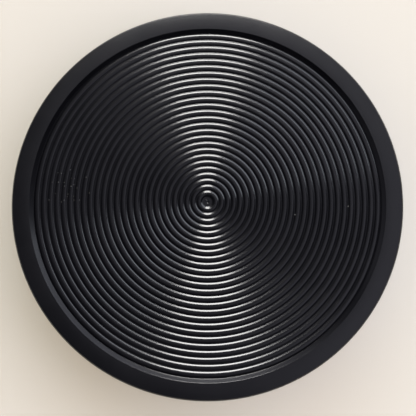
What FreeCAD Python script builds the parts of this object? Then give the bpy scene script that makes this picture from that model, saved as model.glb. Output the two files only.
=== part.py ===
import FreeCAD, Part
import math
import os

# Banding wheel: a ridged turntable head on a spindle that runs in two ball bearings inside a flared pedestal.
# Millimetres. Origin at the centre of the feet's resting plane, +Z up along the spindle.

# --- Head ---
HEAD_R = 150.0              # outer radius of the head
RIM_TOP = 120.0             # height of the flat rim above the feet, and of the whole wheel
RIM_DEPTH = 12.8            # height of the rim's outer wall
RIM_BEVEL_RUN = 1.1         # bevel on the rim's upper outer edge, inwards
RIM_BEVEL_DROP = 1.3        # and downwards
SMALL_ROUND = 0.4           # rounding of the rim's and the well wall's corners
SKIRT_WALL = 4.0            # thickness of the skirt below the plate
WELL_R = 136.6              # radius where the flat rim ends and the well begins
WELL_WALL_RUN = 2.9         # how far the well's wall slopes inward
VALLEY_DEPTH = 2.8          # from the rim down to the grooves between the ridges
RIDGE_HEIGHT = 0.85         # from a groove up to a ridge's flat crest
GROOVE_SLOPE = 45.0         # steepness of a ridge's rounded shoulder where it meets the groove
CENTRE_DISC_R = 4.1         # flat disc inside the first ridge
RIDGE_COUNT = 26
FIRST_PITCH = 4.6           # width of the innermost ridge
PITCH_GROWTH = 0.042        # each ridge is this much wider than the one inside it...
FULL_PITCH = 5.105          # ...up to this width
PLATE_THICKNESS = 6.1       # from the grooves down to the plate's underside
RIB_DEPTH = 3.9             # ribs and central pad below the plate's underside
RIB_WIDTH = 3.0
RIB_COUNT = 12
RIB_RING_R = 96.0
PAD_R = 46.0                # central pad that the hub flange bolts to

# --- Hub flange and its screws ---
FLANGE_R = 38.0
FLANGE_THICKNESS = 6.0
BOSS_R = 17.0
BOSS_BOTTOM = 94.5
HUB_SCREW_COUNT = 6
HUB_SCREW_CIRCLE_R = 29.0
HUB_SCREW_GRIP = 7.0        # thread length inside the head
HUB_SOCKET_DEPTH = 1.8
SET_SCREW_INSET = 0.6       # its outer end below the boss's surface
SET_SCREW_KEY = 2.5         # across the flats, and deep
BOSS_EDGE = 1.0             # chamfer on the boss and on the flange's lower edge
BOSS_FILLET_R = 3.0

# --- M5 screws ---
M5_R = 2.5
M5_HEAD_R = 4.6
M5_HEAD_HEIGHT = 3.0
M5_HEAD_CHAMFER = 0.6
M5_KEY = 3.0                # hexagon socket across its flats

# --- Spindle ---
SPINDLE_R = 7.5             # bearing journals
JOURNAL_R = 9.0             # upper end, inside the hub flange
JOURNAL_TOP = 109.2
COLLAR_R = 11.0             # shoulder that rests on the upper bearing
COLLAR_TOP = 92.8
COLLAR_SHOULDER = 1.0       # height of the cone above the collar
THREAD_R = 6.0
THREAD_BOTTOM = 13.0
SPINDLE_CHAMFER = 1.0
FLAT_DEPTH = 0.8            # flat that the set screw bears on
FLAT_HEIGHT = 8.0
FLAT_BELOW_SCREW = 3.0      # from the set screw's axis down to the flat's lower end
SOCKET_CLEARANCE = 0.3      # round the spindle's tip in the head's centring socket

# --- Ball bearings, 15 x 35 x 11 ---
BEARING_R = 17.5
BEARING_WIDTH = 11.0
UPPER_BEARING_Z = 77.0      # lower face of the upper bearing
LOWER_BEARING_Z = 30.0
BALL_R = 3.0
BALL_COUNT = 8
BALL_PITCH_R = 12.5
GROOVE_R = 3.1              # raceway groove, slightly larger than the ball
INNER_LAND_R = 10.4
OUTER_LAND_R = 14.6
SHIELD_INNER_R = 10.9
SHIELD_THICKNESS = 0.4
SHIELD_INSET = 0.3          # below the faces of the rings
CAGE_INNER_R = 11.2
CAGE_OUTER_R = 13.8
CAGE_HALF_WIDTH = 3.9
POCKET_R = 3.15

# --- Spacer, washer and nut on the spindle ---
WASHER_OUTER_R = 11.0
WASHER_THICKNESS = 2.0
NUT_HEIGHT = 8.0
NUT_ACROSS_FLATS = 19.0
NUT_BLANK_R = 11.2          # of the bevelled blank, just beyond the hexagon's corners
NUT_BEVEL = 1.0

# --- Pedestal ---
BASE_R = 100.0
BASE_BOTTOM = 6.0
BASE_EDGE_ROUND = 1.5       # rounding of the base's lower edge
BASE_EDGE_TOP = 13.0        # top of the base's upright edge
FLARE_FOOT_R = 95.0         # where the flare meets the base's rounded shoulder
FLARE_FOOT_Z = 18.0
COLUMN_R = 28.0
FLARE_TOP_Z = 64.0          # where the flare becomes the straight column
COLUMN_TOP = 88.0
RECESS_INNER_R = 24.0       # ring-shaped recess in the underside, round the bearing bore
RECESS_OUTER_R = 92.0
RECESS_TOP = 13.0
BORE_R = 15.5               # bore between the two bearing seats

# --- Closures ---
COVER_THICKNESS = 4.0
COVER_EDGE = 1.2
SEAL_OUTER_R = 13.5
SEAL_BOTTOM_GAP = 0.4       # under the seal
SEAL_TOP_GAP = 0.2          # from the seal's top to the cover's top
SEAL_LIP_SLOPE = 1.3        # how far the lip's cone runs inward
SEAL_LIP_BOTTOM = 2.4       # above the column's top
SEAL_LIP_TOP = 3.2
SEAL_CLEARANCE = 0.06       # running clearance between seal lip and spindle collar
COVER_SCREW_COUNT = 3
COVER_SCREW_CIRCLE_R = 22.5
M4_R = 2.0
M4_HEAD_R = 3.8
M4_KEY = 2.5
M4_KEY_DEPTH = 1.2
COVER_SCREW_GRIP = 8.0
PLATE_R = 94.0
PLATE_SEAT_GAP = 0.3
BOTTOM_PLATE_THICKNESS = 2.0
SPRING_HEIGHT = 1.4
SPRING_SHEET = 0.5
SPRING_INNER_R = 14.7
SPRING_OUTER_R = 17.3
CIRCLIP_THICKNESS = 1.2
CIRCLIP_GROOVE_R = 18.6
CIRCLIP_GAP = 0.1           # between the clip and its groove's wall
CIRCLIP_INNER_R = 14.6
CIRCLIP_OPENING_ANGLE = 40.0
CIRCLIP_EAR_R = 2.0
CIRCLIP_EYE_R = 0.9
CIRCLIP_EAR_CIRCLE_R = 15.0

# --- Feet ---
FOOT_COUNT = 4
FOOT_R = 12.0
FOOT_TAPER = 1.0            # the foot's face is this much smaller in radius
FOOT_CIRCLE_R = 79.0
FOOT_START_ANGLE = 45.0
FOOT_RECESS_DEPTH = 3.4     # recess for the screw head, open at the floor
FOOT_HEAD_GAP = 0.4         # between the recess and the screw head
FOOT_HEAD_HEIGHT = 2.4
FOOT_KEY_DEPTH = 1.4
FOOT_BOSS_R = 8.0
FOOT_SCREW_GRIP = 5.5

UP = FreeCAD.Vector(0, 0, 1)
ORIGIN = FreeCAD.Vector(0, 0, 0)


def profile_point(radius, height):
    return FreeCAD.Vector(radius, 0, height)


def line(start, end):
    return Part.makeLine(profile_point(*start), profile_point(*end))


def arc(start, through, end):
    return Part.Arc(profile_point(*start), profile_point(*through), profile_point(*end)).toShape()


def rounding(start, corner, end):
    """Quarter-turn arc from start to end, bulging towards the sharp corner."""
    share = 1.0 - math.sqrt(0.5)
    middle_r = corner[0] + share * (start[0] + end[0] - 2.0 * corner[0])
    middle_z = corner[1] + share * (start[1] + end[1] - 2.0 * corner[1])
    return arc(start, (middle_r, middle_z), end)


def flare(top, foot):
    """Concave quarter ellipse, wider than tall, upright at its top end and level at its foot."""
    centre = profile_point(foot[0], top[1])
    ellipse = Part.Ellipse(profile_point(*top), profile_point(*foot), centre)
    start = ellipse.parameter(profile_point(*top))
    end = ellipse.parameter(profile_point(*foot))
    return Part.ArcOfEllipse(ellipse, start, end).toShape()


def revolve_edges(edges):
    ordered = Part.__sortEdges__(edges)
    face = Part.Face(Part.Wire(ordered))
    return face.revolve(ORIGIN, UP, 360.0)


def revolve_outline(points):
    closed = points + [points[0]]
    edges = [line(a, b) for a, b in zip(closed, closed[1:])]
    return revolve_edges(edges)


def disc(radius, bottom, top, x=0.0, y=0.0):
    return Part.makeCylinder(radius, top - bottom, FreeCAD.Vector(x, y, bottom))


def ring(inner, outer, bottom, top):
    return disc(outer, bottom, top).cut(disc(inner, bottom, top))


def around(count, radius, start_angle=0.0):
    """Centres of count places spaced evenly round a circle."""
    places = []
    for index in range(count):
        angle = math.radians(start_angle + 360.0 * index / count)
        places.append((radius * math.cos(angle), radius * math.sin(angle)))
    return places


def save(node, shape):
    shape.exportStep(os.path.join("parts", node + ".step"))


# ---------------------------------------------------------------- head

HEAD_BOTTOM = RIM_TOP - RIM_DEPTH
VALLEY_Z = RIM_TOP - VALLEY_DEPTH
UNDERSIDE_Z = VALLEY_Z - PLATE_THICKNESS
FLANGE_TOP = UNDERSIDE_Z - RIB_DEPTH
FLANGE_BOTTOM = FLANGE_TOP - FLANGE_THICKNESS
SET_SCREW_Z = 97.65
FLAT_X = JOURNAL_R - FLAT_DEPTH


def groove_radii():
    """Radii of the grooves on both sides of every ridge, from the centre disc outwards."""
    radii = [CENTRE_DISC_R]
    for index in range(RIDGE_COUNT):
        radii.append(radii[-1] + min(FIRST_PITCH + PITCH_GROWTH * index, FULL_PITCH))
    return radii


def ridge_edges(inner, outer):
    """A ridge between two grooves: shoulder arc, flat crest, shoulder arc."""
    slope = math.radians(GROOVE_SLOPE)
    shoulder_r = RIDGE_HEIGHT / (1.0 - math.cos(slope))
    run = shoulder_r * math.sin(slope)
    middle_run = shoulder_r * math.sin(0.5 * slope)
    middle_z = VALLEY_Z + RIDGE_HEIGHT - shoulder_r * (1.0 - math.cos(0.5 * slope))
    crest_z = VALLEY_Z + RIDGE_HEIGHT
    crest_start = inner + run
    crest_end = outer - run
    return [
        arc((inner, VALLEY_Z), (crest_start - middle_run, middle_z), (crest_start, crest_z)),
        line((crest_start, crest_z), (crest_end, crest_z)),
        arc((crest_end, crest_z), (crest_end + middle_run, middle_z), (outer, VALLEY_Z)),
    ]


def rounded_path(points, radius):
    """Straight edges through the points, with every corner between two of them rounded to the radius."""
    edges = []
    start = points[0]
    for before, corner, after in zip(points, points[1:], points[2:]):
        back = FreeCAD.Vector(before[0] - corner[0], before[1] - corner[1], 0).normalize()
        ahead = FreeCAD.Vector(after[0] - corner[0], after[1] - corner[1], 0).normalize()
        half_angle = 0.5 * back.getAngle(ahead)
        reach = radius / math.tan(half_angle)
        bisector = (back + ahead).normalize()
        middle = bisector * (radius / math.sin(half_angle) - radius)
        arc_start = (corner[0] + reach * back.x, corner[1] + reach * back.y)
        arc_middle = (corner[0] + middle.x, corner[1] + middle.y)
        arc_end = (corner[0] + reach * ahead.x, corner[1] + reach * ahead.y)
        edges.append(line(start, arc_start))
        edges.append(arc(arc_start, arc_middle, arc_end))
        start = arc_end
    edges.append(line(start, points[-1]))
    return edges


def head_plate():
    grooves = groove_radii()
    skirt_inner = HEAD_R - SKIRT_WALL

    edges = [line((0, UNDERSIDE_Z), (0, VALLEY_Z)), line((0, VALLEY_Z), (CENTRE_DISC_R, VALLEY_Z))]
    for inner, outer in zip(grooves, grooves[1:]):
        edges += ridge_edges(inner, outer)
    wall_foot = (WELL_R - WELL_WALL_RUN, VALLEY_Z)
    edges.append(line((grooves[-1], VALLEY_Z), wall_foot))
    edges += rounded_path([
        wall_foot,
        (WELL_R, RIM_TOP),
        (HEAD_R - RIM_BEVEL_RUN, RIM_TOP),
        (HEAD_R, RIM_TOP - RIM_BEVEL_DROP),
        (HEAD_R, HEAD_BOTTOM),
    ], SMALL_ROUND)
    edges.append(line((HEAD_R, HEAD_BOTTOM), (skirt_inner, HEAD_BOTTOM)))
    edges.append(line((skirt_inner, HEAD_BOTTOM), (skirt_inner, UNDERSIDE_Z)))
    edges.append(line((skirt_inner, UNDERSIDE_Z), (0, UNDERSIDE_Z)))
    plate = revolve_edges(edges)

    half_rib = 0.5 * RIB_WIDTH
    underside = [disc(PAD_R, HEAD_BOTTOM, UNDERSIDE_Z)]
    underside.append(ring(RIB_RING_R - half_rib, RIB_RING_R + half_rib, HEAD_BOTTOM, UNDERSIDE_Z))
    overlap = 1.0
    rib_start = PAD_R - overlap
    rib_length = skirt_inner + overlap - rib_start
    for index in range(RIB_COUNT):
        corner = FreeCAD.Vector(rib_start, -half_rib, HEAD_BOTTOM)
        rib = Part.makeBox(rib_length, RIB_WIDTH, RIB_DEPTH, corner)
        rib.rotate(ORIGIN, UP, (index + 0.5) * 360.0 / RIB_COUNT)
        underside.append(rib)
    plate = plate.fuse(underside).removeSplitter()

    socket = disc(JOURNAL_R + SOCKET_CLEARANCE, HEAD_BOTTOM, JOURNAL_TOP + SOCKET_CLEARANCE)
    holes = [socket]
    for x, y in around(HUB_SCREW_COUNT, HUB_SCREW_CIRCLE_R):
        holes.append(disc(M5_R, HEAD_BOTTOM, FLANGE_TOP + HUB_SCREW_GRIP, x, y))
    return plate.cut(holes)


def radial_rod(radius, start, end, height):
    return Part.makeCylinder(radius, end - start, FreeCAD.Vector(start, 0, height), FreeCAD.Vector(1, 0, 0))


def hub_flange():
    fillet_start = (BOSS_R, FLANGE_BOTTOM - BOSS_FILLET_R)
    fillet_end = (BOSS_R + BOSS_FILLET_R, FLANGE_BOTTOM)
    edges = [
        line((JOURNAL_R, BOSS_BOTTOM), (BOSS_R - BOSS_EDGE, BOSS_BOTTOM)),
        line((BOSS_R - BOSS_EDGE, BOSS_BOTTOM), (BOSS_R, BOSS_BOTTOM + BOSS_EDGE)),
        line((BOSS_R, BOSS_BOTTOM + BOSS_EDGE), fillet_start),
        rounding(fillet_start, (BOSS_R, FLANGE_BOTTOM), fillet_end),
        line(fillet_end, (FLANGE_R - BOSS_EDGE, FLANGE_BOTTOM)),
        line((FLANGE_R - BOSS_EDGE, FLANGE_BOTTOM), (FLANGE_R, FLANGE_BOTTOM + BOSS_EDGE)),
        line((FLANGE_R, FLANGE_BOTTOM + BOSS_EDGE), (FLANGE_R, FLANGE_TOP)),
        line((FLANGE_R, FLANGE_TOP), (JOURNAL_R, FLANGE_TOP)),
        line((JOURNAL_R, FLANGE_TOP), (JOURNAL_R, BOSS_BOTTOM)),
    ]
    holes = [radial_rod(M5_R, 0.0, BOSS_R + BOSS_FILLET_R, SET_SCREW_Z)]
    for x, y in around(HUB_SCREW_COUNT, HUB_SCREW_CIRCLE_R):
        holes.append(disc(M5_R, FLANGE_BOTTOM, FLANGE_TOP, x, y))
    return revolve_edges(edges).cut(holes)


def hexagon(across_flats, bottom, top, x=0.0, y=0.0):
    corner_r = across_flats / math.sqrt(3.0)
    corners = [FreeCAD.Vector(x + cx, y + cy, bottom) for cx, cy in around(6, corner_r)]
    return Part.Face(Part.makePolygon(corners + [corners[0]])).extrude(FreeCAD.Vector(0, 0, top - bottom))


def downward_screw_head(head_height, face_z, x, y):
    """Cylindrical M5 head that hangs below the part it clamps, chamfered round its exposed lower edge."""
    chamfer_top = face_z + M5_HEAD_CHAMFER
    face_r = M5_HEAD_R - M5_HEAD_CHAMFER
    cone = Part.makeCone(face_r, M5_HEAD_R, M5_HEAD_CHAMFER, FreeCAD.Vector(x, y, face_z))
    return cone.fuse(disc(M5_HEAD_R, chamfer_top, face_z + head_height, x, y))


def hub_screws():
    head_bottom = FLANGE_BOTTOM - M5_HEAD_HEIGHT
    screws = []
    for x, y in around(HUB_SCREW_COUNT, HUB_SCREW_CIRCLE_R):
        shank = disc(M5_R, FLANGE_BOTTOM, FLANGE_TOP + HUB_SCREW_GRIP, x, y)
        head = downward_screw_head(M5_HEAD_HEIGHT, head_bottom, x, y)
        socket = hexagon(M5_KEY, head_bottom, head_bottom + HUB_SOCKET_DEPTH, x, y)
        screws.append(shank.fuse(head).cut(socket))
    return Part.makeCompound(screws)


def spindle():
    shaft = revolve_outline([
        (0, THREAD_BOTTOM),
        (THREAD_R - SPINDLE_CHAMFER, THREAD_BOTTOM),
        (THREAD_R, THREAD_BOTTOM + SPINDLE_CHAMFER),
        (THREAD_R, LOWER_BEARING_Z),
        (SPINDLE_R, LOWER_BEARING_Z),
        (SPINDLE_R, COLUMN_TOP),
        (COLLAR_R, COLUMN_TOP),
        (COLLAR_R, COLLAR_TOP),
        (JOURNAL_R, COLLAR_TOP + COLLAR_SHOULDER),
        (JOURNAL_R, JOURNAL_TOP - SPINDLE_CHAMFER),
        (JOURNAL_R - SPINDLE_CHAMFER, JOURNAL_TOP),
        (0, JOURNAL_TOP),
    ])
    corner = FreeCAD.Vector(FLAT_X, -JOURNAL_R, SET_SCREW_Z - FLAT_BELOW_SCREW)
    flat = Part.makeBox(JOURNAL_R, 2.0 * JOURNAL_R, FLAT_HEIGHT, corner)
    return shaft.cut(flat)


def set_screw():
    outer_end = BOSS_R - SET_SCREW_INSET
    screw = radial_rod(M5_R, FLAT_X, outer_end, SET_SCREW_Z)
    key = hexagon(SET_SCREW_KEY, 0.0, SET_SCREW_KEY)
    key.rotate(ORIGIN, FreeCAD.Vector(0, 1, 0), -90.0)
    key.translate(FreeCAD.Vector(outer_end, 0, SET_SCREW_Z))
    return screw.cut(key)


# ---------------------------------------------------------------- bearings

def raceway(base_z):
    return Part.makeTorus(BALL_PITCH_R, GROOVE_R, FreeCAD.Vector(0, 0, base_z + 0.5 * BEARING_WIDTH))


def inner_race(base_z):
    return ring(SPINDLE_R, INNER_LAND_R, base_z, base_z + BEARING_WIDTH).cut(raceway(base_z))


def outer_race(base_z):
    return ring(OUTER_LAND_R, BEARING_R, base_z, base_z + BEARING_WIDTH).cut(raceway(base_z))


def bearing_balls(base_z):
    middle = base_z + 0.5 * BEARING_WIDTH
    balls = []
    for x, y in around(BALL_COUNT, BALL_PITCH_R):
        balls.append(Part.makeSphere(BALL_R, FreeCAD.Vector(x, y, middle)))
    return Part.makeCompound(balls)


def bearing_cage(base_z):
    """Solid band with one radially drilled pocket for each ball."""
    middle = base_z + 0.5 * BEARING_WIDTH
    band = ring(CAGE_INNER_R, CAGE_OUTER_R, middle - CAGE_HALF_WIDTH, middle + CAGE_HALF_WIDTH)
    pockets = []
    length = OUTER_LAND_R - INNER_LAND_R
    for x, y in around(BALL_COUNT, INNER_LAND_R):
        outward = FreeCAD.Vector(x, y, 0)
        pockets.append(Part.makeCylinder(POCKET_R, length, outward + UP * middle, outward))
    return band.cut(pockets)


def bearing_shields(base_z):
    bottom = base_z + SHIELD_INSET
    top = base_z + BEARING_WIDTH - SHIELD_INSET
    lower = ring(SHIELD_INNER_R, OUTER_LAND_R, bottom, bottom + SHIELD_THICKNESS)
    upper = ring(SHIELD_INNER_R, OUTER_LAND_R, top - SHIELD_THICKNESS, top)
    return Part.makeCompound([lower, upper])


# ---------------------------------------------------------------- spindle's lower end

def spacer_sleeve():
    return ring(SPINDLE_R, INNER_LAND_R, LOWER_BEARING_Z + BEARING_WIDTH, UPPER_BEARING_Z)


def lock_washer():
    return ring(THREAD_R, WASHER_OUTER_R, LOWER_BEARING_Z - WASHER_THICKNESS, LOWER_BEARING_Z)


def lock_nut():
    top = LOWER_BEARING_Z - WASHER_THICKNESS
    bottom = top - NUT_HEIGHT
    bevel = revolve_outline([
        (0, bottom),
        (0.5 * NUT_ACROSS_FLATS, bottom),
        (NUT_BLANK_R, bottom + NUT_BEVEL),
        (NUT_BLANK_R, top),
        (0, top),
    ])
    return hexagon(NUT_ACROSS_FLATS, bottom, top).common(bevel).cut(disc(THREAD_R, bottom, top))


# ---------------------------------------------------------------- pedestal

PLATE_BOTTOM = BASE_BOTTOM
PLATE_TOP = BASE_BOTTOM + BOTTOM_PLATE_THICKNESS
CIRCLIP_TOP = LOWER_BEARING_Z - SPRING_HEIGHT


def base_casting():
    """Outer form of the pedestal, without its recess and bores."""
    round_start = (BASE_R - BASE_EDGE_ROUND, BASE_BOTTOM)
    round_end = (BASE_R, BASE_BOTTOM + BASE_EDGE_ROUND)
    shoulder = (BASE_R, FLARE_FOOT_Z)
    return revolve_edges([
        line((0, BASE_BOTTOM), round_start),
        rounding(round_start, (BASE_R, BASE_BOTTOM), round_end),
        line(round_end, (BASE_R, BASE_EDGE_TOP)),
        rounding((BASE_R, BASE_EDGE_TOP), shoulder, (FLARE_FOOT_R, FLARE_FOOT_Z)),
        flare((COLUMN_R, FLARE_TOP_Z), (FLARE_FOOT_R, FLARE_FOOT_Z)),
        line((COLUMN_R, FLARE_TOP_Z), (COLUMN_R, COLUMN_TOP)),
        line((COLUMN_R, COLUMN_TOP), (0, COLUMN_TOP)),
        line((0, COLUMN_TOP), (0, BASE_BOTTOM)),
    ])


def underside_recess():
    recess = ring(RECESS_INNER_R, RECESS_OUTER_R, PLATE_TOP, RECESS_TOP)
    bosses = [disc(FOOT_BOSS_R, PLATE_TOP, RECESS_TOP, x, y)
              for x, y in around(FOOT_COUNT, FOOT_CIRCLE_R, FOOT_START_ANGLE)]
    return recess.cut(bosses)


def pedestal_base():
    bores = [
        underside_recess(),
        disc(PLATE_R + PLATE_SEAT_GAP, BASE_BOTTOM, PLATE_TOP),
        disc(BORE_R, PLATE_TOP, COLUMN_TOP),
        disc(BEARING_R, PLATE_TOP, LOWER_BEARING_Z + BEARING_WIDTH),
        disc(BEARING_R, UPPER_BEARING_Z, COLUMN_TOP),
        disc(CIRCLIP_GROOVE_R, CIRCLIP_TOP - CIRCLIP_THICKNESS, CIRCLIP_TOP),
    ]
    for x, y in around(FOOT_COUNT, FOOT_CIRCLE_R, FOOT_START_ANGLE):
        bores.append(disc(M5_R, PLATE_TOP, PLATE_TOP + FOOT_SCREW_GRIP, x, y))
    for x, y in around(COVER_SCREW_COUNT, COVER_SCREW_CIRCLE_R):
        bores.append(disc(M4_R, COLUMN_TOP - COVER_SCREW_GRIP, COLUMN_TOP, x, y))
    return base_casting().cut(bores)


COVER_TOP = COLUMN_TOP + COVER_THICKNESS


def countersink(x, y):
    """Cone under a countersunk head whose top is level with the bearing cover."""
    depth = M4_HEAD_R - M4_R
    return Part.makeCone(M4_R, M4_HEAD_R, depth, FreeCAD.Vector(x, y, COVER_TOP - depth))


def bearing_cover():
    cover = revolve_outline([
        (SEAL_OUTER_R, COLUMN_TOP),
        (COLUMN_R, COLUMN_TOP),
        (COLUMN_R, COVER_TOP - COVER_EDGE),
        (COLUMN_R - COVER_EDGE, COVER_TOP),
        (SEAL_OUTER_R, COVER_TOP),
    ])
    holes = []
    for x, y in around(COVER_SCREW_COUNT, COVER_SCREW_CIRCLE_R):
        holes.append(disc(M4_R, COLUMN_TOP, COVER_TOP, x, y))
        holes.append(countersink(x, y))
    return cover.cut(holes)


def cover_screws():
    screws = []
    for x, y in around(COVER_SCREW_COUNT, COVER_SCREW_CIRCLE_R):
        shank = disc(M4_R, COLUMN_TOP - COVER_SCREW_GRIP, COVER_TOP, x, y)
        socket = hexagon(M4_KEY, COVER_TOP - M4_KEY_DEPTH, COVER_TOP, x, y)
        screws.append(shank.fuse(countersink(x, y)).cut(socket))
    return Part.makeCompound(screws)


def dust_seal():
    lip_r = COLLAR_R + SEAL_CLEARANCE
    body_r = lip_r + SEAL_LIP_SLOPE
    bottom = COLUMN_TOP + SEAL_BOTTOM_GAP
    top = COVER_TOP - SEAL_TOP_GAP
    return revolve_outline([
        (lip_r, COLUMN_TOP + SEAL_LIP_BOTTOM),
        (body_r, bottom),
        (SEAL_OUTER_R, bottom),
        (SEAL_OUTER_R, top),
        (body_r, top),
        (lip_r, COLUMN_TOP + SEAL_LIP_TOP),
    ])


def preload_spring():
    """Conical spring washer between the circlip and the lower bearing's outer ring."""
    return revolve_outline([
        (SPRING_INNER_R, LOWER_BEARING_Z - SPRING_SHEET),
        (SPRING_INNER_R, LOWER_BEARING_Z),
        (SPRING_OUTER_R, CIRCLIP_TOP + SPRING_SHEET),
        (SPRING_OUTER_R, CIRCLIP_TOP),
    ])


def retaining_ring():
    """Circlip: an open band with an eyed ear on each side of its opening."""
    bottom = CIRCLIP_TOP - CIRCLIP_THICKNESS
    band = ring(CIRCLIP_INNER_R, CIRCLIP_GROOVE_R - CIRCLIP_GAP, bottom, CIRCLIP_TOP)
    half_angle = math.radians(0.5 * CIRCLIP_OPENING_ANGLE)
    reach_x = 2.0 * CIRCLIP_GROOVE_R * math.cos(half_angle)
    reach_y = 2.0 * CIRCLIP_GROOVE_R * math.sin(half_angle)
    corners = [
        FreeCAD.Vector(0, 0, bottom),
        FreeCAD.Vector(reach_x, -reach_y, bottom),
        FreeCAD.Vector(reach_x, reach_y, bottom),
    ]
    wedge = Part.Face(Part.makePolygon(corners + [corners[0]])).extrude(UP * CIRCLIP_THICKNESS)
    clip = band.cut(wedge)
    ear_angle = half_angle + CIRCLIP_EAR_R / CIRCLIP_EAR_CIRCLE_R
    for side in (-1, 1):
        x = CIRCLIP_EAR_CIRCLE_R * math.cos(side * ear_angle)
        y = CIRCLIP_EAR_CIRCLE_R * math.sin(side * ear_angle)
        clip = clip.fuse(disc(CIRCLIP_EAR_R, bottom, CIRCLIP_TOP, x, y))
        clip = clip.cut(disc(CIRCLIP_EYE_R, bottom, CIRCLIP_TOP, x, y))
    return clip


def bottom_plate():
    plate = disc(PLATE_R, PLATE_BOTTOM, PLATE_TOP)
    holes = [disc(M5_R, PLATE_BOTTOM, PLATE_TOP, x, y)
             for x, y in around(FOOT_COUNT, FOOT_CIRCLE_R, FOOT_START_ANGLE)]
    return plate.cut(holes)


def rubber_feet():
    feet = []
    for x, y in around(FOOT_COUNT, FOOT_CIRCLE_R, FOOT_START_ANGLE):
        foot = Part.makeCone(FOOT_R - FOOT_TAPER, FOOT_R, PLATE_BOTTOM, FreeCAD.Vector(x, y, 0))
        recess = disc(M5_HEAD_R + FOOT_HEAD_GAP, 0, FOOT_RECESS_DEPTH, x, y)
        feet.append(foot.cut([recess, disc(M5_R, 0, PLATE_BOTTOM, x, y)]))
    return Part.makeCompound(feet)


def foot_screws():
    screws = []
    head_bottom = FOOT_RECESS_DEPTH - FOOT_HEAD_HEIGHT
    for x, y in around(FOOT_COUNT, FOOT_CIRCLE_R, FOOT_START_ANGLE):
        shank = disc(M5_R, FOOT_RECESS_DEPTH, PLATE_TOP + FOOT_SCREW_GRIP, x, y)
        head = downward_screw_head(FOOT_HEAD_HEIGHT, head_bottom, x, y)
        socket = hexagon(M5_KEY, head_bottom, head_bottom + FOOT_KEY_DEPTH, x, y)
        screws.append(shank.fuse(head).cut(socket))
    return Part.makeCompound(screws)


# ---------------------------------------------------------------- export

def main():
    os.makedirs("parts", exist_ok=True)
    save("head_plate", head_plate())
    save("hub_flange", hub_flange())
    save("hub_screws", hub_screws())
    save("spindle", spindle())
    save("set_screw", set_screw())
    for name, base_z in (("upper", UPPER_BEARING_Z), ("lower", LOWER_BEARING_Z)):
        save(name + "_inner_race", inner_race(base_z))
        save(name + "_outer_race", outer_race(base_z))
        save(name + "_cage", bearing_cage(base_z))
        save(name + "_balls", bearing_balls(base_z))
        save(name + "_shields", bearing_shields(base_z))
    save("spacer_sleeve", spacer_sleeve())
    save("lock_washer", lock_washer())
    save("lock_nut", lock_nut())
    save("pedestal_base", pedestal_base())
    save("bearing_cover", bearing_cover())
    save("cover_screws", cover_screws())
    save("dust_seal", dust_seal())
    save("preload_spring", preload_spring())
    save("retaining_ring", retaining_ring())
    save("bottom_plate", bottom_plate())
    save("rubber_feet", rubber_feet())
    save("foot_screws", foot_screws())


main()
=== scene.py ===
import math

import bpy
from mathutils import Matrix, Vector


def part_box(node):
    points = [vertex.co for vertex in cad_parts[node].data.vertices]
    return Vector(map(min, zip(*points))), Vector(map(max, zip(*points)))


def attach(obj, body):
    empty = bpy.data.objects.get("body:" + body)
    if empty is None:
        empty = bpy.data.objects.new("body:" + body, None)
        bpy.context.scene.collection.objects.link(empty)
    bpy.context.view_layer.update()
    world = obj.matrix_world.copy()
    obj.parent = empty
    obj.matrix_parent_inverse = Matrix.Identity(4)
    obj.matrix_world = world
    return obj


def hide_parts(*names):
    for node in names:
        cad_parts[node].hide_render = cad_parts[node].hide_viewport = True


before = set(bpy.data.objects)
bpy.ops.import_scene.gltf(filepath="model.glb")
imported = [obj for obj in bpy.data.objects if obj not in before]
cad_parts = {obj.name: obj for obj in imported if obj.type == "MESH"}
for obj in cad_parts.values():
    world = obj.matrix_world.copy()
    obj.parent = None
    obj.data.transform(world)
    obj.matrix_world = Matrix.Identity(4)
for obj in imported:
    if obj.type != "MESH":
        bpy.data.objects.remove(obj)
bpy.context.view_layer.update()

MM = 0.001

# ---------------------------------------------------------------- sizes read from the frame

head_low, head_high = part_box("head_plate")

RIM_TOP = head_high.z
HEAD_BOTTOM = head_low.z
HEAD_R = 150.0 * MM

# The head's section, as in the CAD model
RIM_BEVEL_RUN = 1.1 * MM
RIM_BEVEL_DROP = 1.3 * MM
SMALL_ROUND = 0.4 * MM
SKIRT_WALL = 4.0 * MM
WELL_R = 136.6 * MM
WELL_WALL_RUN = 2.9 * MM
VALLEY_DEPTH = 2.8 * MM
RIDGE_HEIGHT = 0.85 * MM
GROOVE_SLOPE = math.radians(45.0)
CENTRE_DISC_R = 4.1 * MM
RIDGE_COUNT = 26
FIRST_PITCH = 4.6 * MM
PITCH_GROWTH = 0.042 * MM
FULL_PITCH = 5.105 * MM
PLATE_THICKNESS = 6.1 * MM
RIB_WIDTH = 3.0 * MM
RIB_COUNT = 12
RIB_RING_R = 96.0 * MM
PAD_R = 46.0 * MM

VALLEY_Z = RIM_TOP - VALLEY_DEPTH
UNDERSIDE_Z = VALLEY_Z - PLATE_THICKNESS

# Rows and columns of the head's skin
COLUMNS_PER_RIB = 18
COLUMNS = RIB_COUNT * COLUMNS_PER_RIB
CENTRE_ROWS = (0.35, 0.7, 1.0, 1.3, 1.6, 1.9, 2.3, 3.2)     # radii round the gate mark, in mm
SIDE_STEP = 0.25 * MM                                       # spacing of rows beside a rib or a wall
LIP = 0.5 * MM                                              # rounding of the skirt's lower edge
# A groove's small fillet lifts its floor, and begins where the ridge's shoulder has this slope
GROOVE_FILLET_RISE = 0.12 * MM
SHOULDER_START = math.radians(38.0)
SHOULDER_STEPS = 5

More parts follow.
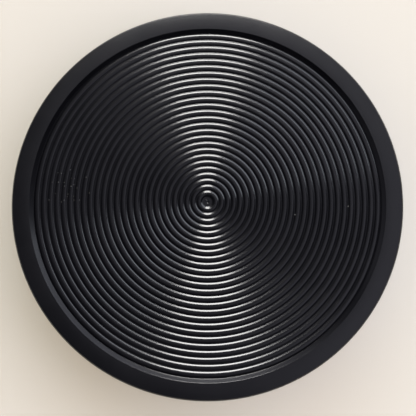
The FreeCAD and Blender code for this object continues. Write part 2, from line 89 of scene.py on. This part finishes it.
# Dust and scratches in the well: cells per metre, size within a cell, and the share of cells left clear
SPECK_CELLS, SPECK_SIZE, SPECK_CLEAR = 95.0, 0.035, 0.93
DUST_CELLS, DUST_SIZE, DUST_CLEAR = 420.0, 0.17, 0.60
DUST_STRENGTH = 0.45
DUSTY_PATCH = (-106.0 * MM, 10.0 * MM)
DUSTY_PATCH_R = 24.0 * MM
LONE_SPECKS = ((108.0 * MM, -3.5 * MM), (67.0 * MM, -10.0 * MM))
LONE_SPECK_R = 0.55 * MM
LONG_SCRATCH = ((85.5 * MM, -67.8 * MM), (100.0 * MM, -78.5 * MM))
LONG_SCRATCH_WIDTH = 0.5 * MM
SHORT_SCRATCH = ((99.0 * MM, -74.5 * MM), (96.5 * MM, -80.0 * MM))
SHORT_SCRATCH_WIDTH = 0.45 * MM

# The head's plastic
BLACK_LOW = (0.0005, 0.0005, 0.0010)
BLACK_HIGH = (0.0009, 0.0009, 0.0015)
DUST_TINT = (0.16, 0.16, 0.155)
SCRATCH_TINT = (0.012, 0.012, 0.014)
ROUGHNESS_LOW, ROUGHNESS_HIGH = 0.17, 0.20
SWIRL_ROUGHNESS = 0.03
RIM_ROUGHNESS = 0.04
MARK_ROUGHNESS = 0.07

# The dim room mirrored in the head. A stop is (place along the lean, strength)
ROOM_TINT = (0.86, 0.85, 1.0, 1.0)
WALL_LEAN = (0.35, 0.94, 0.0)
WALL_REACH = (-1.0, 1.0)
WALL_STOPS = (
    (0.0, 0.03), (0.20, 0.04), (0.40, 0.05), (0.56, 0.07),
    (0.70, 0.12), (0.80, 0.35), (0.92, 0.9), (1.0, 2.0),
)
CEILING_LEAN = (0.9, 0.44, 0.0)
CEILING_REACH = (-0.5, 0.5)
CEILING_STOPS = (
    (0.0, 0.12), (0.33, 0.14), (0.42, 0.17), (0.48, 0.34), (0.55, 0.66),
    (0.62, 0.72), (0.68, 0.95), (0.76, 0.78), (1.0, 0.8),
)
# Steps in the room's light: (from, to, value before, value after)
CEILING_HEIGHT = (0.80, 0.94, 0.0, 1.0)
SKIRTING_HEIGHT = (0.16, 0.42, 0.60, 0.0)
SKIRTING_SIDE = (-0.92, -0.70, 1.0, 0.0)
DARK_PATCH_PLACE = (0.08, 0.13, 1.0)
DARK_PATCH = (0.03, 0.15, 0.25, 1.0)

FLOOR_HALF = 30.0

CAMERA_ELEVATION = math.radians(82.9)
CAMERA_DISTANCE = 4.187 * HEAD_R
CAMERA_AIM = Vector((0.4 * MM, -5.15 * MM, RIM_TOP))
SENSOR_MM = 36.0
LENS_MM = 71.135


# ---------------------------------------------------------------- mesh helpers

def make_object(name, vertices, faces):
    mesh = bpy.data.meshes.new(name)
    mesh.from_pydata(vertices, [], faces)
    mesh.validate()
    mesh.update()
    obj = bpy.data.objects.new(name, mesh)
    bpy.context.scene.collection.objects.link(obj)
    return obj


def smooth(obj, sharp_angle):
    mesh = obj.data
    mesh.polygons.foreach_set("use_smooth", [True] * len(mesh.polygons))
    mesh.set_sharp_from_angle(angle=math.radians(sharp_angle))
    mesh.update()


def ease(value):
    """0 below 0, 1 above 1, and a smooth step between."""
    value = min(max(value, 0.0), 1.0)
    return value * value * (3.0 - 2.0 * value)


def arc_points(centre, radius, start, end, count):
    """Points of an arc in the (r, z) plane, angles in degrees."""
    points = []
    for i in range(count + 1):
        angle = math.radians(start + (end - start) * i / count)
        points.append((centre[0] + radius * math.cos(angle), centre[1] + radius * math.sin(angle)))
    return points


# ---------------------------------------------------------------- head

def groove_radii():
    radii = [CENTRE_DISC_R]
    for index in range(RIDGE_COUNT):
        radii.append(radii[-1] + min(FIRST_PITCH + PITCH_GROWTH * index, FULL_PITCH))
    return radii


def shoulder_points(groove, side):
    """One rounded shoulder, from near a groove up to the crest's edge.

    side is +1 for the shoulder outside the groove and -1 for the one inside it.
    """
    radius = RIDGE_HEIGHT / (1.0 - math.cos(GROOVE_SLOPE))
    crest_edge = groove + side * radius * math.sin(GROOVE_SLOPE)
    points = []
    for step in range(SHOULDER_STEPS + 1):
        tilt = SHOULDER_START * (1.0 - step / SHOULDER_STEPS)
        reach = side * radius * math.sin(tilt)
        points.append((crest_edge - reach, VALLEY_Z + RIDGE_HEIGHT - radius * (1.0 - math.cos(tilt))))
    return points


def rounded_path(points, radius, steps):
    """The points in the (r, z) plane with every corner between two of them rounded to the radius."""
    path = [points[0]]
    for before, corner, after in zip(points, points[1:], points[2:]):
        corner_at = Vector(corner)
        back = (Vector(before) - corner_at).normalized()
        ahead = (Vector(after) - corner_at).normalized()
        half_angle = 0.5 * back.angle(ahead)
        bisector = (back + ahead).normalized()
        centre = corner_at + bisector * (radius / math.sin(half_angle))
        first = corner_at + back * (radius / math.tan(half_angle)) - centre
        last = corner_at + ahead * (radius / math.tan(half_angle)) - centre
        for step in range(steps + 1):
            spoke = first.lerp(last, step / steps).normalized() * radius
            path.append((centre.x + spoke.x, centre.y + spoke.y))
    path.append(points[-1])
    return path


def head_top_profile():
    """(r, z) from the middle of the top, over the ridges and rim, down to the skirt's lower outer edge."""
    grooves = groove_radii()
    groove_floor = VALLEY_Z + GROOVE_FILLET_RISE
    points = [(radius * MM, VALLEY_Z) for radius in CENTRE_ROWS]
    points.append((CENTRE_DISC_R - 0.2 * MM, VALLEY_Z))
    for index, (inner, outer) in enumerate(zip(grooves, grooves[1:])):
        if index > 0:
            points.append((inner, groove_floor))
        points += shoulder_points(inner, 1.0)
        points += reversed(shoulder_points(outer, -1.0))
    points += rounded_path([
        (grooves[-1] + 0.02 * MM, VALLEY_Z),
        (WELL_R - WELL_WALL_RUN, VALLEY_Z),
        (WELL_R, RIM_TOP),
        (HEAD_R - RIM_BEVEL_RUN, RIM_TOP),
        (HEAD_R, RIM_TOP - RIM_BEVEL_DROP),
        (HEAD_R, HEAD_BOTTOM + 3.0 * LIP),
    ], SMALL_ROUND, 4)
    points += arc_points((HEAD_R - LIP, HEAD_BOTTOM + LIP), LIP, 0, -90, 3)
    return points


def underside_radii():
    """Radii of the underside's rows, from the skirt's lower face inwards to the centre."""
    step = SIDE_STEP
    skirt = HEAD_R - SKIRT_WALL
    ring_outer = RIB_RING_R + 0.5 * RIB_WIDTH
    ring_inner = RIB_RING_R - 0.5 * RIB_WIDTH
    radii = [skirt + step, skirt, skirt - step, skirt - 3 * step, skirt - 6 * step, skirt - 16 * MM]
    radii += [0.5 * (skirt + ring_outer), ring_outer + 14 * MM]
    radii += [ring_outer + 5 * step, ring_outer + 2 * step, ring_outer, ring_outer - step]
    radii += [ring_inner + step, ring_inner, ring_inner - 2 * step, ring_inner - 5 * step]
    radii += [ring_inner - 12 * MM, 0.5 * (ring_inner + PAD_R), PAD_R + 12 * MM]
    radii += [PAD_R + 5 * step, PAD_R + 2 * step, PAD_R, PAD_R - step, 0.6 * PAD_R, 0.25 * PAD_R]
    return radii


def wall_share(distance):
    """1 inside a wall, easing to 0 over its drafted side and the small radius at its foot."""
    draft = SIDE_STEP
    foot = 5.0 * SIDE_STEP
    if distance <= 0.0:
        return 1.0
    if distance <= 2.0 * draft:
        return 1.0 - 0.8 * distance / (2.0 * draft)
    return 0.2 * (1.0 - ease((distance - 2.0 * draft) / (foot - 2.0 * draft)))


def rib_column_offsets(radius):
    """Angles of the columns across one rib's share of the circle, close together at the rib's sides."""
    half_sector = math.pi / RIB_COUNT
    half_rib = 0.5 * RIB_WIDTH
    step = SIDE_STEP
    edges = [0.0, half_rib - step, half_rib, half_rib + 2 * step, half_rib + 5 * step]
    near = [math.asin(min(e / radius, 1.0)) for e in edges]
    remaining = COLUMNS_PER_RIB // 2 - len(near)
    far = [near[-1] + (half_sector - near[-1]) * (i + 1) / (remaining + 1) for i in range(remaining)]
    positive = near + far
    return [-a for a in reversed(positive[1:])] + positive + [half_sector]


def underside_row(radius):
    """One ring of vertices of the ribbed underside."""
    depth = UNDERSIDE_Z - HEAD_BOTTOM
    skirt = HEAD_R - SKIRT_WALL
    sector = 2.0 * math.pi / RIB_COUNT
    uneven = rib_column_offsets(max(radius, 0.5 * PAD_R))
    row = []
    for rib in range(RIB_COUNT):
        for offset in uneven:
            angle = (rib + 0.5) * sector + offset
            across = radius * abs(math.sin(offset))
            height = max(
                wall_share(skirt - radius),
                wall_share(abs(radius - RIB_RING_R) - 0.5 * RIB_WIDTH),
                wall_share(radius - PAD_R),
                wall_share(across - 0.5 * RIB_WIDTH),
            )
            row.append((radius * math.cos(angle), radius * math.sin(angle), UNDERSIDE_Z - depth * height))
    return row


def head_angles():
    sector = 2.0 * math.pi / RIB_COUNT
    angles = []
    for rib in range(RIB_COUNT):
        for step in range(COLUMNS_PER_RIB):
            angles.append((rib + 0.5) * sector + sector * ((step + 1) / COLUMNS_PER_RIB - 0.5))
    return angles


def gate_mark(x, y):
    """Height of the moulding gate's scar in the middle: a shallow dimple with a torn nib beside it."""
    dimple = math.hypot(x - 0.15 * MM, y + 0.25 * MM) / (1.25 * MM)
    nib = math.hypot(x + 0.55 * MM, y - 0.75 * MM) / (0.5 * MM)
    return -0.26 * MM * (1.0 - ease(dimple)) + 0.34 * MM * (1.0 - ease(nib))


def build_head():
    """The whole moulded head as one closed skin: ridged top, rim, skirt and ribbed underside."""
    angles = head_angles()
    rows = []
    for radius, z in head_top_profile():
        row = [(radius * math.cos(a), radius * math.sin(a)) for a in angles]
        rows.append([(x, y, z + gate_mark(x, y)) for x, y in row])
    rows += [underside_row(radius) for radius in underside_radii()]
    vertices = [point for row in rows for point in row]
    faces = []
    for upper in range(len(rows) - 1):
        for column in range(COLUMNS):
            following = (column + 1) % COLUMNS
            a = upper * COLUMNS + column
            b = upper * COLUMNS + following
            faces.append((a, a + COLUMNS, b + COLUMNS, b))
    last = (len(rows) - 1) * COLUMNS
    vertices.append((0.0, 0.0, VALLEY_Z + gate_mark(0.0, 0.0)))
    top_centre = len(vertices) - 1
    vertices.append((0.0, 0.0, HEAD_BOTTOM))
    bottom_centre = len(vertices) - 1
    for column in range(COLUMNS):
        following = (column + 1) % COLUMNS
        faces.append((top_centre, column, following))
        faces.append((bottom_centre, last + following, last + column))
    head = make_object("ridged_head", vertices, faces)
    smooth(head, 50)
    return head


# ---------------------------------------------------------------- materials

class Look:
    """A material under construction: short calls for the nodes that every finish here is made of."""

    def __init__(self, name, color, roughness, metallic=0.0, specular=0.5):
        self.material = bpy.data.materials.new(name)
        self.material.use_nodes = True
        self.nodes = self.material.node_tree.nodes
        self.links = self.material.node_tree.links
        self.shader = self.nodes["Principled BSDF"]
        self.shader.inputs["Base Color"].default_value = (*color, 1.0)
        self.shader.inputs["Roughness"].default_value = roughness
        self.shader.inputs["Metallic"].default_value = metallic
        self.shader.inputs["Specular IOR Level"].default_value = specular
        self.position = self.nodes.new("ShaderNodeTexCoord").outputs["Object"]

    def put(self, socket, value):
        if isinstance(value, bpy.types.NodeSocket):
            self.links.new(value, socket)
        elif isinstance(value, tuple) and len(value) == 3 and socket.type == "RGBA":
            socket.default_value = (*value, 1.0)
        else:
            socket.default_value = value

    def math(self, operation, first, second=0.0, third=0.0):
        node = self.nodes.new("ShaderNodeMath")
        node.operation = operation
        for socket, value in zip(node.inputs, (first, second, third)):
            self.put(socket, value)
        return node.outputs[0]

    def split(self, vector):
        node = self.nodes.new("ShaderNodeSeparateXYZ")
        self.put(node.inputs[0], vector)
        return node.outputs

    def join(self, x, y, z):
        node = self.nodes.new("ShaderNodeCombineXYZ")
        for socket, value in zip(node.inputs, (x, y, z)):
            self.put(socket, value)
        return node.outputs[0]

    def hypot(self, x, y):
        squares = self.math("ADD", self.math("MULTIPLY", x, x), self.math("MULTIPLY", y, y))
        return self.math("SQRT", squares)

    def polar(self):
        """Radius in metres, angle in radians and height of the surface point about the spindle."""
        x, y, z = self.split(self.position)
        return self.hypot(x, y), self.math("ARCTAN2", y, x), z

    def noise(self, scale, detail=3.0, rough=0.55, vector=None):
        node = self.nodes.new("ShaderNodeTexNoise")
        self.put(node.inputs["Vector"], vector or self.position)
        node.inputs["Scale"].default_value = scale
        node.inputs["Detail"].default_value = detail
        node.inputs["Roughness"].default_value = rough
        return node.outputs["Fac"]

    def spots(self, scale, vector=None):
        node = self.nodes.new("ShaderNodeTexVoronoi")
        self.put(node.inputs["Vector"], vector or self.position)
        node.inputs["Scale"].default_value = scale
        return node.outputs["Distance"], node.outputs["Color"]

    def span(self, value, low, high, to_low=0.0, to_high=1.0):
        node = self.nodes.new("ShaderNodeMapRange")
        node.interpolation_type = "SMOOTHSTEP"
        for socket, number in zip(node.inputs, (value, low, high, to_low, to_high)):
            self.put(socket, number)
        return node.outputs[0]

    def blend(self, share, first, second):
        node = self.nodes.new("ShaderNodeMix")
        node.data_type = "RGBA"
        self.put(node.inputs[0], share)
        self.put(node.inputs[6], first)
        self.put(node.inputs[7], second)
        return node.outputs[2]

    def color(self, value):
        self.put(self.shader.inputs["Base Color"], value)

    def roughness(self, value):
        self.put(self.shader.inputs["Roughness"], value)

    def bump(self, height, strength, distance, under=None):
        node = self.nodes.new("ShaderNodeBump")
        node.inputs["Strength"].default_value = strength
        node.inputs["Distance"].default_value = distance
        self.put(node.inputs["Height"], height)
        if under is not None:
            self.put(node.inputs["Normal"], under)
        self.put(self.shader.inputs["Normal"], node.outputs[0])
        return node.outputs[0]


def turned_lines(look, rings, wobble=1.5):
    """Fine rings about the spindle, as a lathe or a polishing cloth leaves."""
    radius, angle, height = look.polar()
    vector = look.join(look.math("MULTIPLY", radius, rings), look.math("MULTIPLY", angle, wobble), height)
    return look.noise(1.0, 2.0, 0.6, vector)


def scratch(look, start, end, width):
    """1 along a straight scratch in plan view, 0 beside it."""
    x, y = look.split(look.position)[:2]
    length = math.dist(start, end)
    along_x = (end[0] - start[0]) / length
    along_y = (end[1] - start[1]) / length
    from_x = look.math("SUBTRACT", x, start[0])
    from_y = look.math("SUBTRACT", y, start[1])
    along = look.math("ADD", look.math("MULTIPLY", from_x, along_x), look.math("MULTIPLY", from_y, along_y))
    turned_x = look.math("MULTIPLY", from_x, along_y)
    turned_y = look.math("MULTIPLY", from_y, along_x)
    across = look.math("SUBTRACT", turned_x, turned_y)
    beside = look.span(look.math("ABSOLUTE", across), 0.5 * width, width, 1.0, 0.0)
    from_middle = look.math("ABSOLUTE", look.math("SUBTRACT", along, 0.5 * length))
    inside = look.span(from_middle, 0.46 * length, 0.5 * length, 1.0, 0.0)
    return look.math("MULTIPLY", beside, inside)


def spot(look, place, radius):
    """1 on a round spot in plan view, 0 beside it."""
    x, y = look.split(look.position)[:2]
    away = look.hypot(look.math("SUBTRACT", x, place[0]), look.math("SUBTRACT", y, place[1]))
    return look.span(away, 0.6 * radius, radius, 1.0, 0.0)


def well_specks(look, rim):
    """Scattered specks, the dusty patch and the lone specks, all inside the rim."""
    distance, cell = look.spots(SPECK_CELLS)
    chosen = look.math("GREATER_THAN", look.split(cell)[0], SPECK_CLEAR)
    speck = look.math("MULTIPLY", look.math("LESS_THAN", distance, SPECK_SIZE), chosen)
    fine_distance, fine_cell = look.spots(DUST_CELLS)
    patch = spot(look, DUSTY_PATCH, DUSTY_PATCH_R)
    dense = look.math("GREATER_THAN", look.math("MULTIPLY", look.split(fine_cell)[0], patch), DUST_CLEAR)
    dust = look.math("MULTIPLY", look.math("LESS_THAN", fine_distance, DUST_SIZE), dense)
    speck = look.math("MAXIMUM", speck, look.math("MULTIPLY", dust, DUST_STRENGTH))
    for place in LONE_SPECKS:
        speck = look.math("MAXIMUM", speck, spot(look, place, LONE_SPECK_R))
    return look.math("MULTIPLY", speck, look.math("SUBTRACT", 1.0, rim))


def well_scratches(look):
    """One long scratch with a short one across its end, broken up by noise."""
    long_scratch = scratch(look, *LONG_SCRATCH, LONG_SCRATCH_WIDTH)
    short_scratch = scratch(look, *SHORT_SCRATCH, SHORT_SCRATCH_WIDTH)
    broken = look.span(look.noise(700.0, 2.0, 0.6), 0.38, 0.62)
    return look.math("MULTIPLY", look.math("MAXIMUM", long_scratch, short_scratch), broken)


def head_plastic():
    look = Look("head_plastic", BLACK_HIGH, ROUGHNESS_HIGH)
    mottling = look.noise(38.0, 4.0, 0.6)
    grain = look.noise(1900.0, 2.0, 0.6)
    swirl = turned_lines(look, 1400.0)
    radius = look.polar()[0]
    rim = look.span(radius, WELL_R - 0.3 * MM, WELL_R + 0.3 * MM)
    speck = well_specks(look, rim)
    marks = well_scratches(look)
    tint = look.blend(look.span(mottling, 0.3, 0.7), BLACK_LOW, BLACK_HIGH)
    dusty = look.blend(look.math("MULTIPLY", speck, 0.5), tint, DUST_TINT)
    look.color(look.blend(look.math("MULTIPLY", marks, 0.2), dusty, SCRATCH_TINT))
    rough = look.span(mottling, 0.25, 0.75, ROUGHNESS_LOW, ROUGHNESS_HIGH)
    marked = look.math("MAXIMUM", speck, marks)
    for share, extra in ((swirl, SWIRL_ROUGHNESS), (rim, RIM_ROUGHNESS), (marked, MARK_ROUGHNESS)):
        rough = look.math("ADD", rough, look.math("MULTIPLY", share, extra))
    look.roughness(rough)
    fine = look.bump(look.math("MULTIPLY", grain, rim), 0.05, 0.02 * MM)
    look.bump(look.math("SUBTRACT", swirl, look.math("MULTIPLY", marks, 0.9)), 0.025, 0.03 * MM, under=fine)
    return look.material


def cast_paint():
    look = Look("cast_paint", (0.011, 0.011, 0.012), 0.34)
    orange_peel = look.noise(420.0, 3.0, 0.5)
    pits = look.noise(1500.0, 2.0, 0.5)
    cloud = look.noise(22.0, 4.0, 0.6)
    look.color(look.blend(look.span(cloud, 0.3, 0.7), (0.009, 0.009, 0.010), (0.015, 0.015, 0.016)))
    look.roughness(look.span(cloud, 0.25, 0.75, 0.28, 0.42))
    under = look.bump(pits, 0.16, 0.04 * MM)
    look.bump(orange_peel, 0.30, 0.12 * MM, under=under)
    return look.material


def smooth_paint():
    look = Look("smooth_paint", (0.011, 0.011, 0.012), 0.3)
    cloud = look.noise(60.0, 3.0, 0.6)
    rings = turned_lines(look, 900.0)
    look.color(look.blend(cloud, (0.009, 0.009, 0.010), (0.014, 0.014, 0.015)))
    look.roughness(look.span(cloud, 0.3, 0.7, 0.24, 0.36))
    look.bump(rings, 0.12, 0.04 * MM)
    return look.material


def cast_aluminium():
    look = Look("cast_aluminium", (0.50, 0.50, 0.51), 0.42, metallic=1.0)
    sand = look.noise(1800.0, 3.0, 0.6)
    cloud = look.noise(70.0, 3.0, 0.6)
    look.color(look.blend(cloud, (0.42, 0.42, 0.43), (0.60, 0.60, 0.61)))
    look.roughness(look.span(cloud, 0.3, 0.7, 0.36, 0.52))
    look.bump(sand, 0.35, 0.05 * MM)
    return look.material


def steel(name, tone, low, high, rings=2600.0):
    look = Look(name, (tone, tone, tone * 1.01), low, metallic=1.0)
    lines = turned_lines(look, rings)
    cloud = look.noise(140.0, 3.0, 0.6)
    dark = tone * 0.82
    look.color(look.blend(cloud, (dark, dark, dark * 1.02), (tone, tone, tone * 1.01)))
    look.roughness(look.span(lines, 0.3, 0.7, low, high))
    look.bump(lines, 0.15, 0.02 * MM)
    return look.material


def cage_brass():
    look = Look("cage_brass", (0.66, 0.47, 0.19), 0.3, metallic=1.0)
    cloud = look.noise(240.0, 3.0, 0.6)
    look.color(look.blend(cloud, (0.52, 0.36, 0.14), (0.74, 0.55, 0.24)))
    look.roughness(look.span(cloud, 0.3, 0.7, 0.24, 0.42))
    look.bump(turned_lines(look, 2200.0), 0.15, 0.02 * MM)
    return look.material


def rubber():
    look = Look("rubber", (0.017, 0.017, 0.017), 0.7, specular=0.3)
    cloud = look.noise(90.0, 4.0, 0.65)
    grain = look.noise(2200.0, 2.0, 0.6)
    look.color(look.blend(look.span(cloud, 0.35, 0.7), (0.014, 0.014, 0.014), (0.034, 0.033, 0.031)))
    look.roughness(look.span(cloud, 0.3, 0.7, 0.6, 0.82))
    look.bump(grain, 0.4, 0.06 * MM)
    return look.material


def dress_nodes():
    zinc = steel("zinc_plate", 0.60, 0.22, 0.36)
    bearing = steel("ground_steel", 0.62, 0.10, 0.22, rings=3600.0)
    finishes = {
        "pedestal_base": cast_paint(),
        "bearing_cover": smooth_paint(),
        "bottom_plate": smooth_paint(),
        "hub_flange": cast_aluminium(),
        "spindle": steel("turned_steel", 0.52, 0.20, 0.34),
        "upper_cage": cage_brass(),
        "rubber_feet": rubber(),
        "cover_screws": steel("black_oxide", 0.07, 0.32, 0.46),
        "preload_spring": steel("spring_steel", 0.22, 0.25, 0.40),
    }
    same = {
        "spacer_sleeve": "spindle",
        "lower_cage": "upper_cage",
        "dust_seal": "rubber_feet",
        "set_screw": "cover_screws",
        "retaining_ring": "preload_spring",
    }
    for node, other in same.items():
        finishes[node] = finishes[other]
    for node in ("hub_screws", "foot_screws", "lock_nut", "lock_washer", "upper_shields", "lower_shields"):
        finishes[node] = zinc
    for level in ("upper", "lower"):
        for piece in ("inner_race", "outer_race", "balls"):
            finishes[level + "_" + piece] = bearing
    for node, finish in finishes.items():
        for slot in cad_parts[node].material_slots:
            slot.material = finish


# ---------------------------------------------------------------- stage, lights and camera

def floor_material():
    look = Look("pale_floor", (0.52, 0.487, 0.44), 0.85, specular=0.2)
    cloud = look.noise(3.0, 3.0, 0.5)
    look.color(look.blend(cloud, (0.51, 0.477, 0.43), (0.53, 0.497, 0.45)))
    return look.material


def make_floor():
    half = FLOOR_HALF
    corners = [(-half, -half, 0), (half, -half, 0), (half, half, 0), (-half, half, 0)]
    floor = make_object("floor", corners, [(0, 1, 2, 3)])
    floor.data.materials.append(floor_material())


def aim(obj, target):
    obj.rotation_euler = (Vector(target) - obj.location).to_track_quat("-Z", "Y").to_euler()


def area_light(name, place, target, size, radiance, tint, hidden_from):
    """A rectangular light whose power follows from the brightness of its face."""
    width, height = size
    data = bpy.data.lights.new(name, "AREA")
    data.shape = "RECTANGLE"
    data.size = width
    data.size_y = height
    data.energy = radiance * math.pi * width * height
    data.spread = math.radians(180.0)
    data.color = tint
    light = bpy.data.objects.new(name, data)
    bpy.context.scene.collection.objects.link(light)
    light.location = place
    light.visible_diffuse = "diffuse" not in hidden_from
    light.visible_glossy = "glossy" not in hidden_from
    light.visible_camera = "camera" not in hidden_from
    aim(light, target)


def room_light():
    """Dim room: walls dark behind the onlooker and brighter by the window, ceiling brighter on the right."""
    world = bpy.data.worlds.new("room")
    world.use_nodes = True
    nodes = world.node_tree.nodes
    links = world.node_tree.links
    background = nodes["Background"]
    background.inputs["Color"].default_value = ROOM_TINT
    direction = nodes.new("ShaderNodeTexCoord").outputs["Generated"]
    parts = nodes.new("ShaderNodeSeparateXYZ")
    links.new(direction, parts.inputs[0])
    sideways = parts.outputs["X"]
    upwards = parts.outputs["Z"]

    def stepped(value, limits, interpolation="SMOOTHSTEP"):
        node = nodes.new("ShaderNodeMapRange")
        node.interpolation_type = interpolation
        for socket, number in zip(list(node.inputs)[1:5], limits):
            socket.default_value = number
        links.new(value, node.inputs[0])
        return node.outputs[0]

    def joined(operation, first, second):
        node = nodes.new("ShaderNodeMath")
        node.operation = operation
        links.new(first, node.inputs[0])
        links.new(second, node.inputs[1])
        return node.outputs[0]

    def compared(operation, vector):
        node = nodes.new("ShaderNodeVectorMath")
        node.operation = operation
        node.inputs[1].default_value = vector
        links.new(direction, node.inputs[0])
        return node.outputs["Value"]

    def graded(lean, reach, stops):
        ramp = nodes.new("ShaderNodeValToRGB")
        ramp.color_ramp.interpolation = "B_SPLINE"
        elements = ramp.color_ramp.elements
        while len(elements) < len(stops):
            elements.new(0.5)
        for element, (place, strength) in zip(elements, stops):
            element.position = place
            element.color = (strength, strength, strength, 1.0)
        links.new(stepped(compared("DOT_PRODUCT", lean), (*reach, 0.0, 1.0), "LINEAR"), ramp.inputs[0])
        return ramp.outputs[0]

    room = nodes.new("ShaderNodeMix")
    room.data_type = "FLOAT"
    links.new(stepped(upwards, CEILING_HEIGHT), room.inputs[0])
    links.new(graded(WALL_LEAN, WALL_REACH, WALL_STOPS), room.inputs[2])
    links.new(graded(CEILING_LEAN, CEILING_REACH, CEILING_STOPS), room.inputs[3])
    skirting = joined("MULTIPLY", stepped(upwards, SKIRTING_HEIGHT), stepped(sideways, SKIRTING_SIDE))
    dark_patch = stepped(compared("DISTANCE", DARK_PATCH_PLACE), DARK_PATCH)
    dimmed = joined("MULTIPLY", room.outputs[0], dark_patch)
    links.new(joined("ADD", dimmed, skirting), background.inputs["Strength"])
    bpy.context.scene.world = world


def make_lights():
    """Windows and a strip that show only in reflections, and fills that show in none."""
    head_centre = (0.0, 0.0, RIM_TOP)
    area_light("window", place=(-0.05, 2.2, 2.15), target=(-0.05, 0.0, 2.15), size=(1.15, 2.2),
               radiance=25.5, tint=(1.0, 0.985, 0.96), hidden_from=("diffuse",))
    area_light("side_window", place=(1.30, 1.30, 1.38), target=(0.0, 0.0, 1.38), size=(1.8, 1.1),
               radiance=3.0, tint=(0.84, 0.91, 1.0), hidden_from=("diffuse",))
    area_light("bench_side", place=(0.0, -0.33, 0.185), target=(0.0, 0.0, 0.185), size=(0.9, 0.13),
               radiance=0.5, tint=(0.90, 0.92, 1.0), hidden_from=("diffuse", "camera"))
    area_light("overhead_fill", place=(0.001, 0.0, 2.6), target=head_centre, size=(5.0, 5.0),
               radiance=1.85, tint=(1.0, 0.877, 0.645), hidden_from=("glossy",))
    area_light("window_fill", place=(0.0, 2.4, 2.2), target=head_centre, size=(2.0, 2.0),
               radiance=3.0, tint=(0.52, 0.786, 1.0), hidden_from=("glossy",))
    area_light("side_fill", place=(1.2, 0.0, 2.2), target=head_centre, size=(2.0, 2.0),
               radiance=3.9, tint=(0.70, 0.77, 1.0), hidden_from=("glossy",))
    room_light()


def make_camera():
    """Nearly straight above, a little towards the near side, as the wheel is seen by someone at the bench."""
    camera_data = bpy.data.cameras.new("camera")
    camera_data.sensor_width = SENSOR_MM
    camera_data.lens = LENS_MM
    camera = bpy.data.objects.new("camera", camera_data)
    bpy.context.scene.collection.objects.link(camera)
    away = Vector((0.0, -math.cos(CAMERA_ELEVATION), math.sin(CAMERA_ELEVATION)))
    camera.location = CAMERA_AIM + CAMERA_DISTANCE * away
    camera.rotation_euler = (math.radians(90.0) - CAMERA_ELEVATION, 0.0, 0.0)
    bpy.context.scene.camera = camera


# ---------------------------------------------------------------- assembly

head = build_head()
head.data.materials.append(head_plastic())
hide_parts("head_plate")
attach(head, "head")

dress_nodes()
make_floor()
make_lights()
make_camera()
bpy.context.scene.view_settings.view_transform = "Standard"
